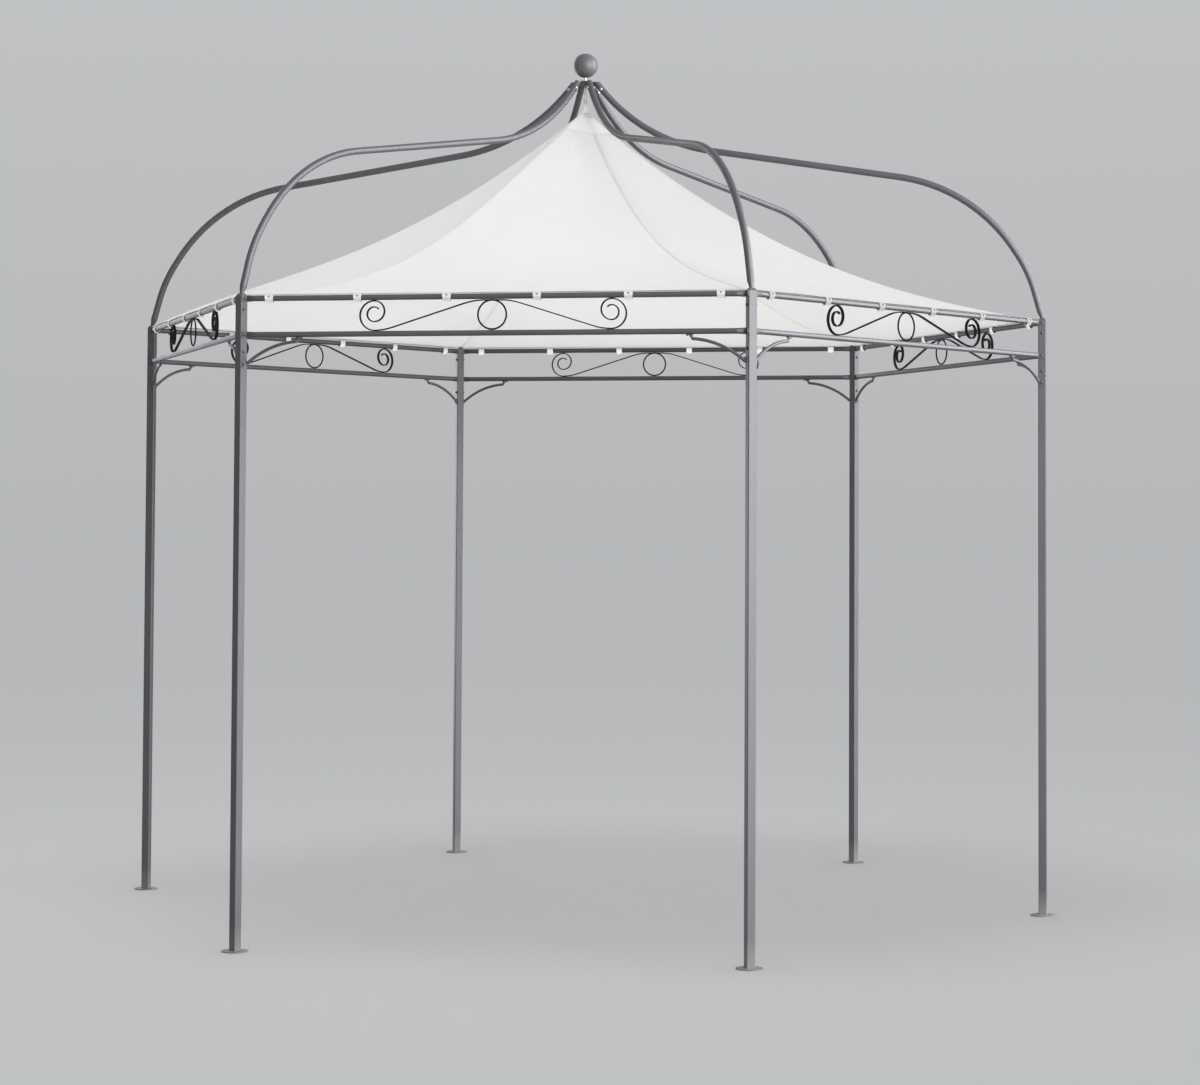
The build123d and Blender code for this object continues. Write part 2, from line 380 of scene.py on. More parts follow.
frameCoat = makePowderCoat("frameCoat", powderCoat)
# the scrollwork takes the frame's powder coat, with a darker base colour as painted shade
shadedScrollCoat = makePowderCoat("shadedScrollCoat", {**powderCoat, **shadedWireCoat})
ballFinish = makeBallFinish("ballFinish", ball)
boltBlack = makeZinc("boltBlack", (0.15, 0.145, 0.14), 0.30)
boltZinc = makeZinc("boltZinc", (0.55, 0.54, 0.53), 0.26)
snapMetal = makeZinc("snapMetal", (0.32, 0.305, 0.29), 0.32)
canopyCloth = makeCanopyCloth("canopyCloth", cloth)
patchCloth = makeCanopyCloth("patchCloth", {**cloth, **doubledCloth})
webbing = makeWebbing("webbing", strapWebbing)
sewingThread = makeThread("sewingThread", (0.88, 0.88, 0.86))
hangingCord = makeThread("hangingCord", (0.83, 0.82, 0.80))
print("stage: finishes made")

otherFinishes = {
    "finial": ballFinish, "roof": canopyCloth, "straps": canopyCloth, "peak_cord": hangingCord,
}
for name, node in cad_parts.items():
    coat = shadedScrollCoat if name.startswith("scrollwork") else frameCoat
    node.data.materials.clear()
    node.data.materials.append(otherFinishes.get(name, coat))


# Mesh helpers

def addObject(name, data):
    made = bpy.data.objects.new(name, data)
    bpy.context.scene.collection.objects.link(made)
    return made


def meshPiece(name, vertices, faces, material, uvs=None):
    mesh = bpy.data.meshes.new(name)
    mesh.from_pydata(vertices, [], faces)
    if uvs:
        layer = mesh.uv_layers.new(name="cut")
        for loop in mesh.loops:
            layer.data[loop.index].uv = uvs[loop.vertex_index]
    mesh.materials.append(material)
    return addObject(name, mesh)


def tidyNormals(piece, mergeDistance=0.00001, closeEnds=False):
    # one smooth skin whose faces point outwards
    shape = bmesh.new()
    shape.from_mesh(piece.data)
    if closeEnds:
        edges = [edge for edge in shape.edges if edge.is_boundary]
        bmesh.ops.holes_fill(shape, edges=edges)
    bmesh.ops.remove_doubles(shape, verts=shape.verts, dist=mergeDistance)
    bmesh.ops.recalc_face_normals(shape, faces=shape.faces)
    for face in shape.faces:
        face.smooth = True
    shape.to_mesh(piece.data)
    shape.free()


def evaluatedMesh(piece):
    bpy.context.view_layer.update()
    graph = bpy.context.evaluated_depsgraph_get()
    return bpy.data.meshes.new_from_object(piece.evaluated_get(graph))


def plainMesh(piece):
    # puts the result of the modifiers into the piece's own mesh and removes them
    made = evaluatedMesh(piece)
    piece.modifiers.clear()
    piece.data = made
    return piece


def thickened(piece, thickness, offset=-1.0):
    # gives a sheet its thickness, inwards or (with no offset) to both sides
    modifier = piece.modifiers.new("thickness", "SOLIDIFY")
    modifier.thickness = thickness
    modifier.offset = offset
    return plainMesh(piece)


def strips(rows, columns, closed=False, start=0):
    # faces of a grid of rows by columns, whose points are numbered from start
    faces = []
    for row in range(rows - 1):
        for column in range(columns if closed else columns - 1):
            right = (column + 1) % columns
            here = start + row * columns
            above = here + columns
            faces.append((here + column, here + right, above + right, above + column))
    return faces


class NodeTree:
    # a Geometry Nodes tree, with some of a piece's settings and its material as named inputs
    def __init__(self, name, material, settings, keys):
        self.group = bpy.data.node_groups.new(name, "GeometryNodeTree")
        self.socket("Geometry", "INPUT", "Geometry")
        self.inputs = []
        inputs = {key: settings[key] for key in keys}
        for label, value in {**inputs, "Material": material}.items():
            made = self.socket(label, "INPUT", type(value).__name__.capitalize())
            self.inputs.append((made.identifier, value))
        self.socket("Geometry", "OUTPUT", "Geometry")
        self.source = self.group.nodes.new("NodeGroupInput")

    def socket(self, label, side, kind):
        # kind is Geometry, or what the value is: Float, Int, Object or Material
        kind = "NodeSocket" + kind
        return self.group.interface.new_socket(label, in_out=side, socket_type=kind)

    def given(self, label):
        return self.source.outputs[label]

    def add(self, kind, sockets, outlet=0, **settings):
        made = self.group.nodes.new(kind)
        for label, value in settings.items():
            setattr(made, label, value)
        for label, value in sockets.items():
            for single in value if isinstance(value, list) else [value]:
                if isinstance(single, bpy.types.NodeSocket):
                    self.group.links.new(single, made.inputs[label])
                else:
                    made.inputs[label].default_value = single
        return made.outputs[outlet]

    def maths(self, operation, first, second):
        return self.add("ShaderNodeMath", {0: first, 1: second}, operation=operation)

    def cylinder(self, vertices, radius, depth, **settings):
        sockets = {"Vertices": vertices, "Radius": radius, "Depth": depth}
        return self.add("GeometryNodeMeshCylinder", sockets, **settings)

    def cone(self, vertices, foot, top, depth):
        sockets = {"Vertices": vertices, "Radius Bottom": foot, "Radius Top": top, "Depth": depth}
        return self.add("GeometryNodeMeshCone", sockets)

    def facing(self, axis="Z"):
        # turns a copy's axis to the direction that is kept with its point
        sockets = {"Name": "facing"}
        kept = self.add("GeometryNodeInputNamedAttribute", sockets, data_type="FLOAT_VECTOR")
        return self.aligned(kept, axis)

    def aligned(self, direction, axis="Z"):
        return self.add("FunctionNodeAlignRotationToVector", {"Vector": direction}, axis=axis)

    def endWithCopies(self, points, instance, rotation, **more):
        sockets = {"Points": points, "Instance": instance, "Rotation": rotation, **more}
        placed = self.add("GeometryNodeInstanceOnPoints", sockets)
        real = self.add("GeometryNodeRealizeInstances", {0: placed})
        sockets = {"Geometry": real, "Material": self.given("Material")}
        painted = self.add("GeometryNodeSetMaterial", sockets)
        out = self.group.nodes.new("NodeGroupOutput")
        self.group.links.new(painted, out.inputs[0])

    def applyTo(self, piece):
        modifier = piece.modifiers.new(self.group.name, "NODES")
        modifier.node_group = self.group
        for identifier, value in self.inputs:
            modifier[identifier] = value
        return plainMesh(piece)


def spots(name, places):
    # a cloud of points, each with the direction that its copy faces
    mesh = bpy.data.meshes.new(name)
    mesh.from_pydata([place for place, facing in places], [], [])
    facings = mesh.attributes.new("facing", "FLOAT_VECTOR", "POINT")
    for number, (place, facing) in enumerate(places):
        facings.data[number].vector = facing
    return addObject(name, mesh)


# Bolts: hexagon heads on washers

bolt = {
    "headRadius": 0.0056,
    "headHeight": 0.0042,
    "crownShare": 0.82,          # the crown's foot as a share of the head's radius
    "crownTop": 0.55,            # the crown's top as a share of its foot
    "crownHeight": 0.0012,
    "crownSides": 18,
    "washerRadius": 0.0068,
    "washerHeight": 0.0012,
    "washerSides": 20,
    "archBoltBelowRail": 0.037,
    "postBoltBelowRail": 0.058,
    "braceFootBelowRail": 0.101,
    "braceHeadFromPost": 0.205,
    "braceScrewSpread": 0.0085,
    "hubBoltFromEnd": 0.030,
    "hubBoltSunk": 0.0006,       # so that its washer meets the round tube
}
braceScrew = {
    "headRadius": 0.0030,
    "headHeight": 0.0018,
    "washerRadius": 0.0034,
    "washerHeight": 0.0004,
}


def sideFaces():
    # each corner's angle, with the direction that each side face of its post looks in
    return [(angle, outward(angle + turn * pi / 2)) for angle in cornerAngles for turn in (-1, 1)]


def boltPlaces():
    # rails, braces and arches are bolted to both side faces of each post
    postFace = sections["postWidth"] / 2
    tabFace = postFace + sections["tabThickness"]
    heights = (
        (upperRail, tabFace),
        (lowerRail, tabFace),
        (lowerRail - bolt["braceFootBelowRail"], tabFace),
        (upperRail - bolt["archBoltBelowRail"], postFace),
        (lowerRail - bolt["postBoltBelowRail"], postFace),
    )
    places = []
    for angle, sideways in sideFaces():
        for height, reach in heights:
            places.append((polar(postRadius, angle, height) + sideways * reach, sideways))
    return places


def braceScrewPlaces():
    # two screws up through each brace's head plate into the lower rail
    underPlate = lowerRail - sections["railRadius"] - sections["headPlate"]
    fromMiddle = sideLength / 2 - bolt["braceHeadFromPost"]
    places = []
    for angle in sideAngles:
        along = outward(angle + pi / 2)
        middle = polar(sideDistance, angle, underPlate)
        for end in (-1, 1):
            for spread in (-1, 1):
                reach = end * (fromMiddle + spread * bolt["braceScrewSpread"])
                places.append((middle + along * reach, Vector((0, 0, -1))))
    return places


def hubBoltPlaces():
    # one bolt through both walls of each arch where it takes the hub's stub
    reach = sections["archRadius"] - bolt["hubBoltSunk"]
    slope = archEnd["slope"]
    places = []
    for angle, sideways in sideFaces():
        downhill = outward(angle) * cos(slope) - Vector((0, 0, sin(slope)))
        end = polar(archEnd["radius"], angle, hubTop - archEnd["belowHubTop"])
        place = end + downhill * bolt["hubBoltFromEnd"]
        places.append((place + sideways * reach, sideways))
    return places


def makeBolts(name, places, settings, material):
    keys = ("headRadius", "headHeight", "crownHeight", "washerRadius", "washerHeight")
    tree = NodeTree(name, material, settings, keys)
    radius, height = tree.given("washerRadius"), tree.given("washerHeight")
    solids = [tree.cylinder(settings["washerSides"], radius, height)]
    radius, height = tree.given("headRadius"), tree.given("headHeight")
    head = tree.cylinder(6, radius, height)
    crownFoot = tree.maths("MULTIPLY", radius, settings["crownShare"])
    crownTop = tree.maths("MULTIPLY", crownFoot, settings["crownTop"])
    crown = tree.cone(settings["crownSides"], crownFoot, crownTop, tree.given("crownHeight"))
    for solid, lift in ((head, tree.maths("MULTIPLY", height, 0.5)), (crown, height)):
        place = tree.add("ShaderNodeCombineXYZ", {"Z": lift})
        solids.append(tree.add("GeometryNodeTransform", {"Geometry": solid, "Translation": place}))
    whole = tree.add("GeometryNodeJoinGeometry", {0: solids})
    tree.endWithCopies(tree.given("Geometry"), whole, tree.facing())
    return tree.applyTo(spots(name, places))


frameBolts = makeBolts("frameBolts", boltPlaces(), bolt, boltBlack)
braceScrews = makeBolts("braceScrews", braceScrewPlaces(), {**bolt, **braceScrew}, boltBlack)
hubBolts = makeBolts("hubBolts", hubBoltPlaces(), bolt, boltZinc)
for piece in (frameBolts, braceScrews, hubBolts):
    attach(piece, "root")
print("stage: bolts made")


# Roof cloth: six gores between the hips, hollow towards the hem, tied down along the rails

canopy = {
    "curve": 1.6,
    "peakRadius": 0.012,
    "eyeHeight": 0.036,          # from the peak up to the top of the roof's eye
    "thickness": 0.0009,
    "hemTop": 0.0018,            # middle of the top layer above the hem's underside
    "hemBottom": 0.0005,
    "hemWidth": 0.022,
    "hemFold": 0.0009,           # how far the fold stands out past the hem
    "hemRows": (1.0, 0.5, 0.06, 0.0),    # rows of the turned-in layer, as shares of its width
    "hemTurn": 0.001,            # the fold's own length in the weave
    "hemScallop": 0.0012,        # how far the hem lifts between two straps
    "scallopReach": 0.05,        # share of the way up where the scallops end
    "notchRadius": 0.027,        # the cloth's corners are cut out round the posts
    "sag": 0.011,
    "sagShift": 0.8,             # below 1, the sag lies nearer the hem
    "wrinkle": 0.0022,
    "folds": ((1, 9, 7.3, 2.2, 0), (0.5, 23, 3.1, 3.5, 5)),
    "foldFade": (12, 8),         # how fast they begin at the hem and end at the peak
    "hipLift": (0.0, 0.066, 0.037, 0.030, 0.030, 0.076),     # each hip's own line, from post_1
    "hipDrop": (0.051, 0.094, 0.053, 0.045, 0.010, 0.014),
    "hipNarrow": (2.2, 0.7, 0.7, 0.7, 0.7, 0.7),
    "goreLength": 1.78,          # along the cloth, for the weave
    "hipLength": 1.97,
    "lowRows": (0.0, 0.003, 0.006, 0.009, 0.012, 0.015, 0.018),
    "rows": 64,
    "rowSpread": 1.15,
    "columns": 34,
    "mergeDistance": 0.00004,
}
straps = {
    "perSide": 6,
    "endInset": 0.100,
    "width": 0.030,
    "widthSpread": 0.06,
    "seed": 4,
    "columns": (-1, -0.96, -0.5, 0, 0.5, 0.96, 1),
    "tail": 0.82,                # the strap's width under and behind the rail, beside its top
    "thickness": 0.0013,
    "gap": 0.0004,
    "hemGap": 0.0002,
    "slack": 0.48,
    "half": 0.002,               # where the top starts and ends, from the rail's middle
    "bends": ((0.62, 0.0001), (0.90, 0.0024)),   # shares of the wrap's radius, and drops
    "wrapFrom": 38,              # degrees above the rail's outer side
    "wrapStep": 15,
    "wrapSteps": 17,
    "narrowingSteps": 8,         # in which the strap narrows to its tail
    "flapLift": 1.6,             # in thicknesses of the strap
    "flapBends": ((0.66, 0.0), (0.93, 0.0020)),
    "flapFrom": 36,
    "flapStep": 11,
    "flapWidths": (0.98, 0.97, 0.95, 0.92, 0.87, 0.78, 0.60),
}
hemRadius = roofHigh.y / cos(pi / 6)
hemUnderside = roofLow.z
hemHeight = hemUnderside + canopy["hemTop"]
peakHeight = roofHigh.z - canopy["eyeHeight"]
strapPitch = (sideLength - 2 * straps["endInset"]) / (straps["perSide"] - 1)


def hipRadius(share):
    return hemRadius + (canopy["peakRadius"] - hemRadius) * share


def hipPoint(corner, share):
    corner %= 6
    rise = (peakHeight - hemHeight) * share ** canopy["curve"]
    lift = canopy["hipLift"][corner] * sin(pi * sqrt(share)) ** 2
    drop = canopy["hipDrop"][corner] * max(sin(pi * share), 0) ** canopy["hipNarrow"][corner]
    return polar(hipRadius(share), cornerAngles[corner], hemHeight + rise + lift - drop)


def wrinkles(side, across, share):
    # long soft folds up the gore and half as much of finer ones
    total = 0
    for weight, wide, shift, tall, seed in canopy["folds"]:
        place = (across * wide + side * shift, share * tall, seed + side)
        total += weight * noise.noise(Vector(place))
    low, high = canopy["foldFade"]
    return total * (min(1, share * low) * min(1, (1 - share) * high))


def clothPoint(side, across, share):
    # a point of the cloth, across one gore from hip to hip, at a share of the way up
    point = hipPoint(side, share).lerp(hipPoint(side + 1, share), across)
    belly = 4 * across * (1 - across)
    point.z -= canopy["sag"] * belly * sin(pi * share ** canopy["sagShift"])
    point.z += canopy["wrinkle"] * wrinkles(side, across, share)
    station = across * sideLength - straps["endInset"]
    between = 0.5 - 0.5 * cos(2 * pi * station / strapPitch)
    nearHem = max(0, 1 - share / canopy["scallopReach"]) ** 2
    point.z += canopy["hemScallop"] * between * nearHem
    return point


def hipGuard(share):
    # how much of a gore's edge the corner notch takes away at this height
    fromPost = abs(hipRadius(share) - postRadius)
    return sqrt(max(0, canopy["notchRadius"] ** 2 - fromPost ** 2)) / hipRadius(share)


def spreadShares():
    # rows lie close together at the hem and at the peak
    last, count, spread = canopy["lowRows"][-1], canopy["rows"], canopy["rowSpread"]
    upper = [last + (1 - last) * (number / count) ** spread for number in range(1, count + 1)]
    return [*canopy["lowRows"], *upper]


def acrossGore(share):
    # columns lie close together beside the hips, and stop at the corner notches
    guard, count = hipGuard(share), canopy["columns"]
    columns = [0.5 - 0.5 * cos(pi * number / count) for number in range(count + 1)]
    return [guard + (1 - 2 * guard) * column for column in columns]


def makeCanopy():
    vertices, faces, uvs = [], [], []
    for side in range(6):
        start = len(vertices)
        outside = outward(sideAngles[side])
        for reach in canopy["hemRows"]:
            # the turned-in layer lies under the top one and meets it in the fold
            isFold = reach == 0
            drop = (canopy["hemTop"] - canopy["hemBottom"]) / (2 if isFold else 1)
            shift = canopy["hemFold"] if isFold else -canopy["hemWidth"] * reach
            for across in acrossGore(0):
                point = clothPoint(side, across, 0)
                vertices.append(point + outside * shift - Vector((0, 0, drop)))
                uvs.append((across * sideLength, -canopy["hemWidth"] * reach - canopy["hemTurn"]))
        shares = spreadShares()
        for share in shares:
            for across in acrossGore(share):
                vertices.append(clothPoint(side, across, share))
                fromMiddle = (across - 0.5) * hipRadius(share)
                uvs.append((fromMiddle, share * canopy["goreLength"]))
        rows = len(canopy["hemRows"]) + len(shares)
        faces += strips(rows, canopy["columns"] + 1, start=start)
    piece = meshPiece("roofCloth", vertices, faces, canopyCloth, uvs)
    tidyNormals(piece, canopy["mergeDistance"])
    return thickened(piece, canopy["thickness"], 0.0)


roofCloth = makeCanopy()
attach(roofCloth, "root")
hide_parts("roof")
print("stage: roof cloth made")


# Seams: a flat felled ribbon down each hip and a stitched band round the hem

seam = {
    "halfWidth": 0.0075,
    "narrowest": 0.38,           # near the peak, the half width as a share of the roof's radius
    "raise": 0.0006,
    "thickness": 0.0007,
    "profile": ((-1, 0), (-0.9, 1), (-0.45, 1), (0, 1.15), (0.45, 1), (0.9, 1), (1, 0)),
    "from": 0.018,               # shares of the way up
    "length": 0.969,
    "steps": 90,
    "stitchPitch": 0.0052,
    "stitchLength": 0.0034,
    "stitchRadius": 0.00055,
    "stitchSides": 4,
    "stitchLift": 0.0002,
    "rowFromMiddle": 0.0048,
    "hemRow": 0.8,               # the hem's row of stitches, as a share of the hem's width
    "hemRowEnd": 0.004,
    "hemRowSteps": 120,
}


def besideHip(corner, share, aside, raised):
    # a point on the cloth at a distance to either side of a hip
    across = abs(aside) / hipRadius(share)
    side, across = ((corner - 1) % 6, 1 - across) if aside < 0 else (corner, across)
    return clothPoint(side, across, share) + Vector((0, 0, raised))


def seamShares():
    steps = seam["steps"]
    return [seam["from"] + seam["length"] * number / steps for number in range(steps + 1)]


def makeSeams():
    vertices, faces, uvs = [], [], []
    for corner in range(6):
        faces += strips(seam["steps"] + 1, len(seam["profile"]), start=len(vertices))
        for share in seamShares():
            width = min(seam["halfWidth"], seam["narrowest"] * hipRadius(share))
            for aside, lift in seam["profile"]:
                raised = canopy["thickness"] / 2 + seam["raise"] * lift
                vertices.append(besideHip(corner, share, aside * width, raised))
                uvs.append((aside * width, share * canopy["hipLength"]))
    piece = meshPiece("hipSeams", vertices, faces, canopyCloth, uvs)
    tidyNormals(piece)
    return thickened(piece, seam["thickness"])


def stitchPaths():
    # two rows of stitches down each hip, as far as the seam keeps its width, and one round the hem
    onCloth = canopy["thickness"] / 2 + seam["stitchLift"]
    wide = [
        share for share in seamShares() if seam["narrowest"] * hipRadius(share) > seam["halfWidth"]
    ]
    paths = []
    for corner in range(6):
        for aside in (-seam["rowFromMiddle"], seam["rowFromMiddle"]):
            lift = onCloth + seam["raise"]
            paths.append([besideHip(corner, share, aside, lift) for share in wide])
    guard = hipGuard(0) + seam["hemRowEnd"]
    steps = seam["hemRowSteps"]
    marks = [guard + (1 - 2 * guard) * number / steps for number in range(steps + 1)]
    share = canopy["hemWidth"] * seam["hemRow"] / (hemRadius * cos(pi / 6))
    for side in range(6):
        paths.append([clothPoint(side, mark, share) + Vector((0, 0, onCloth)) for mark in marks])
    return paths


def makeStitches():
    vertices, edges = [], []
    for path in stitchPaths():
        start = len(vertices)
        vertices += path
        edges += [(start + number, start + number + 1) for number in range(len(path) - 1)]
    mesh = bpy.data.meshes.new("roofStitches")
    mesh.from_pydata(vertices, edges, [])
    keys = ("stitchPitch", "stitchLength", "stitchRadius")
    tree = NodeTree("roofStitches", sewingThread, seam, keys)
    lines = tree.add("GeometryNodeMeshToCurve", {"Mesh": tree.given("Geometry")})
    sockets = {"Curve": lines, "Length": tree.given("stitchPitch")}
    even = tree.add("GeometryNodeResampleCurve", sockets, mode="LENGTH")
    radius, length = tree.given("stitchRadius"), tree.given("stitchLength")
    stitch = tree.cylinder(seam["stitchSides"], radius, length, fill_type="TRIANGLE_FAN")
    tree.endWithCopies(even, stitch, tree.aligned(tree.add("GeometryNodeInputTangent", {})))
    return tree.applyTo(addObject("roofStitches", mesh))


hipSeams = makeSeams()
roofStitches = makeStitches()
for piece in (hipSeams, roofStitches):
    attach(piece, "root")
print("stage: seams made")


# Peak: a reinforcing patch, the gathered tip, its ring and the cord to the hub

peak = {
    "patchShare": 0.942,         # share of the way up where the patch begins
    "patchEnd": 0.9995,
    "patchRows": 6,
    "patchColumns": 8,           # in each gore
    "patchPitch": 0.01,          # a column's width in the weave
    "patchOut": 0.0003,
    "patchRaise": 0.0008,
    "patchThickness": 0.0005,
    "tipBelow": 0.012,           # the tip's foot below the top of the cloth
    "tipBase": 0.0165,
    "tipNeck": 0.0042,
    "tipHeight": 0.044,
    "tipRows": 16,
    "tipAround": 72,
    "tipCurve": 1.15,
    "tipEnd": ((0.0040, 0.0010), (0.0026, 0.0022)),   # radii, and heights above the neck
    "folds": 9,
    "foldDepth": 0.10,
    "foldReach": 1.3,            # so that the folds are full below the neck
    "ringRadius": 0.0048,
    "ringWire": 0.0017,
    "ringSteps": 32,
}
cord = {
    "radius": 0.0013,
    "turns": 3,
    "loopTop": 0.0044,
    "loopBottom": 0.0032,
    "bendSteps": 8,
    "runSteps": 16,
    "knotShare": 0.36,           # the knot's place up the cord
    "knotPinch": 0.62,
    "knotReach": 0.011,
    "knotWraps": 4,
    "knotSteps": 80,
    "knotWide": 0.0054,
    "knotDeep": 0.0036,
    "knotHeight": 0.0105,
}
link = {
    "width": 0.0045,
    "wire": 0.0013,
    "length": 0.026,
    "gap": 0.0006,
    "steps": 40,
}


def makePatch():
    vertices, uvs = [], []
    columns, rows = peak["patchColumns"], peak["patchRows"]
    for row in range(rows + 1):
        share = peak["patchShare"] + (peak["patchEnd"] - peak["patchShare"]) * row / rows
        for side in range(6):
            lift = outward(sideAngles[side]) * peak["patchOut"]
            lift += Vector((0, 0, peak["patchRaise"]))
            for number in range(columns):
                vertices.append(clothPoint(side, number / columns, share) + lift)
                uvs.append(((side * columns + number) * peak["patchPitch"], share))
    faces = strips(rows + 1, 6 * columns, True)
    piece = meshPiece("peakPatch", vertices, faces, patchCloth, uvs)
    tidyNormals(piece)
    return thickened(piece, peak["patchThickness"])


def makeTip():
    # a gathered cone: rings of points whose radius ripples with the folds
    foot, rows, around = peakHeight - peak["tipBelow"], peak["tipRows"], peak["tipAround"]
    profile = []
    for row in range(rows + 1):
        share = row / rows
        flare = (peak["tipBase"] - peak["tipNeck"]) * (1 - share) ** peak["tipCurve"]
        profile.append((peak["tipNeck"] + flare, foot + peak["tipHeight"] * share))
    neck = profile[-1][1]
    profile += [(radius, neck + height) for radius, height in peak["tipEnd"]]
    vertices = []
    for radius, height in profile:
        reach = (height - foot) / peak["tipHeight"] * peak["foldReach"]
        gathered = peak["foldDepth"] * min(1, reach)
        for angle in fullTurn(around):
            ripple = 1 + gathered * sin(peak["folds"] * angle)
            vertices.append(polar(radius * ripple, angle, height))
    piece = meshPiece("peakTip", vertices, strips(len(profile), around, True), patchCloth)
    tidyNormals(piece, closeEnds=True)
    piece.data.uv_layers.new(name="cut")
    return piece


def tube(name, points, radius, material, closed=False):
    # a round bar along points
    line = bpy.data.curves.new(name, "CURVE")
    line.dimensions = "3D"
    line.bevel_depth = radius
    line.bevel_resolution = 2
    line.use_fill_caps = not closed
    spline = line.splines.new("POLY")
    spline.points.add(len(points) - 1)
    for target, point in zip(spline.points, points):
        target.co = (*point, 1)
    spline.use_cyclic_u = closed
    holder = addObject(name, line)
    mesh = evaluatedMesh(holder)
    bpy.data.objects.remove(holder)
    mesh.name = name
    mesh.materials.clear()
    mesh.materials.append(material)
    for polygon in mesh.polygons:
        polygon.use_smooth = True
    return addObject(name, mesh)


def joined(name, pieces):
    shape = bmesh.new()
    for piece in pieces:
        shape.from_mesh(piece.data)
    mesh = bpy.data.meshes.new(name)
    shape.to_mesh(mesh)
    shape.free()
    mesh.materials.append(pieces[0].data.materials[0])
    for piece in pieces:
        bpy.data.objects.remove(piece)
    return addObject(name, mesh)


def makePeakRing():
    around = [Vector((0, cos(angle), sin(angle))) for angle in fullTurn(peak["ringSteps"])]
    points = [eyeCentre + way * peak["ringRadius"] for way in around]
    return tube("peakRing", points, peak["ringWire"], hangingCord, True)


def cordBend(radius, height, first):
    # half a circle of the cord's turn, from an angle on
    steps = cord["bendSteps"]
    angles = [first + pi * step / steps for step in range(steps + 1)]
    return [(radius * cos(angle), height + radius * sin(angle)) for angle in angles]


def cordRun(start, end, knot):
    # one side of the cord's turn, pinched where the knot holds it
    points, steps = [], cord["runSteps"]
    for step in range(1, steps):
        reach, height = (low + (high - low) * step / steps for low, high in zip(start, end))
        nearKnot = max(0, 1 - abs(height - knot) / cord["knotReach"])
        points.append((reach * (1 - cord["knotPinch"] * nearKnot), height))
    return points


def makeHangingCord():
    # closed turns of cord from the hub's eye down to the link, with a whipped knot
    radius, upper, lower = cord["radius"], cord["loopTop"], cord["loopBottom"]
    high = cordTop - radius
    low = linkTop - 2 * link["wire"] - 2 * radius
    knot = low + (high - low) * cord["knotShare"]
    over = cordBend(upper, high - upper, 0)
    under = cordBend(lower, low + lower, pi)
    turn = over + cordRun(over[-1], under[0], knot) + under + cordRun(under[-1], over[0], knot)
    strands = []
    for number in range(cord["turns"]):
        aside = (2 * number - (cord["turns"] - 1)) * radius
        points = [Vector((aside, reach, height)) for reach, height in turn]
        strands.append(tube(f"turn{number}", points, radius, hangingCord, True))
    wraps = []
    for step in range(cord["knotSteps"] + 1):
        share = step / cord["knotSteps"]
        angle = 2 * pi * cord["knotWraps"] * share
        height = knot + cord["knotHeight"] * (share - 0.5)
        place = (cord["knotWide"] * cos(angle), cord["knotDeep"] * sin(angle), height)
        wraps.append(Vector(place))
    strands.append(tube("wraps", wraps, radius, hangingCord))
    return joined("hangingCord", strands)


def makeCordLink():
    # a dark oval link between the cord and the roof's loop
    straight = (linkTop - linkFoot) / 2 - link["wire"] - link["width"]
    points = []
    for angle in fullTurn(link["steps"]):
        lift = straight if sin(angle) > 0 else -straight
        height = (linkTop + linkFoot) / 2 + lift + link["width"] * sin(angle)
        points.append(Vector((link["width"] * cos(angle), 0, height)))
    return tube("cordLink", points, link["wire"], boltBlack, True)


eyeCentre = Vector((0, 0, roofHigh.z - peak["ringRadius"] - peak["ringWire"]))
linkFoot = eyeCentre.z + peak["ringRadius"] - 3 * peak["ringWire"] - link["gap"]
linkTop = linkFoot + link["length"]
peakPatch = makePatch()
peakTip = makeTip()
peakRing = makePeakRing()
peakCord = makeHangingCord()
cordLink = makeCordLink()
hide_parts("peak_cord")
for piece in (peakPatch, peakTip, peakRing, peakCord, cordLink):
    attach(piece, "root")
print("stage: peak made")


# Straps: webbing loops sewn under the hem that wrap the upper rails

def strapPath():
    # the strap's way round the rail in its own plane, X outward and Y up, with its width there
    thickness, tail = straps["thickness"], straps["tail"]
    wrap = sections["railRadius"] + straps["gap"] + thickness / 2
    top = hemUnderside - upperRail - thickness / 2 - straps["hemGap"]
    shoulder = [(straps["half"], top)]
    shoulder += [(wrap * share, top - drop) for share, drop in straps["bends"]]
    path = [(reach, height, 1.0) for reach, height in shoulder]
    for step in range(straps["wrapSteps"]):
        angle = radians(straps["wrapFrom"] - step * straps["wrapStep"])
        slack = 1 + straps["slack"] * max(0, -sin(angle)) ** 2
        width = 1 - (1 - tail) * min(1, step / straps["narrowingSteps"])
        path.append((wrap * cos(angle), wrap * sin(angle) * slack, width))
    return path + [(-reach, height, tail) for reach, height in reversed(shoulder)]


def strapFlap():
    # the tongue sewn under the hem that is folded down over the strap and snapped to it
    thickness = straps["thickness"]
    wrap = sections["railRadius"] + straps["gap"] + thickness * straps["flapLift"]
    top = hemUnderside - upperRail - thickness / 2 - straps["hemGap"]
    widths = straps["flapWidths"]
    path = [(wrap * share, top - drop, widths[0]) for share, drop in straps["flapBends"]]
    for step, width in enumerate(widths):
        angle = radians(straps["flapFrom"] - step * straps["flapStep"])
        path.append((wrap * cos(angle), wrap * sin(angle), width))
    return path


def ribbon(path, width):
    # a band along a path whose third number is its share of the full width
    vertices, uvs = [], []
    length = 0
    before = path[0]
    for reach, height, share in path:
        length += sqrt((reach - before[0]) ** 2 + (height - before[1]) ** 2)
        before = (reach, height)
        for column in straps["columns"]:
            aside = column * share * width / 2
            vertices.append(Vector((reach, aside, height)))
            uvs.append((aside, length))
    return vertices, uvs


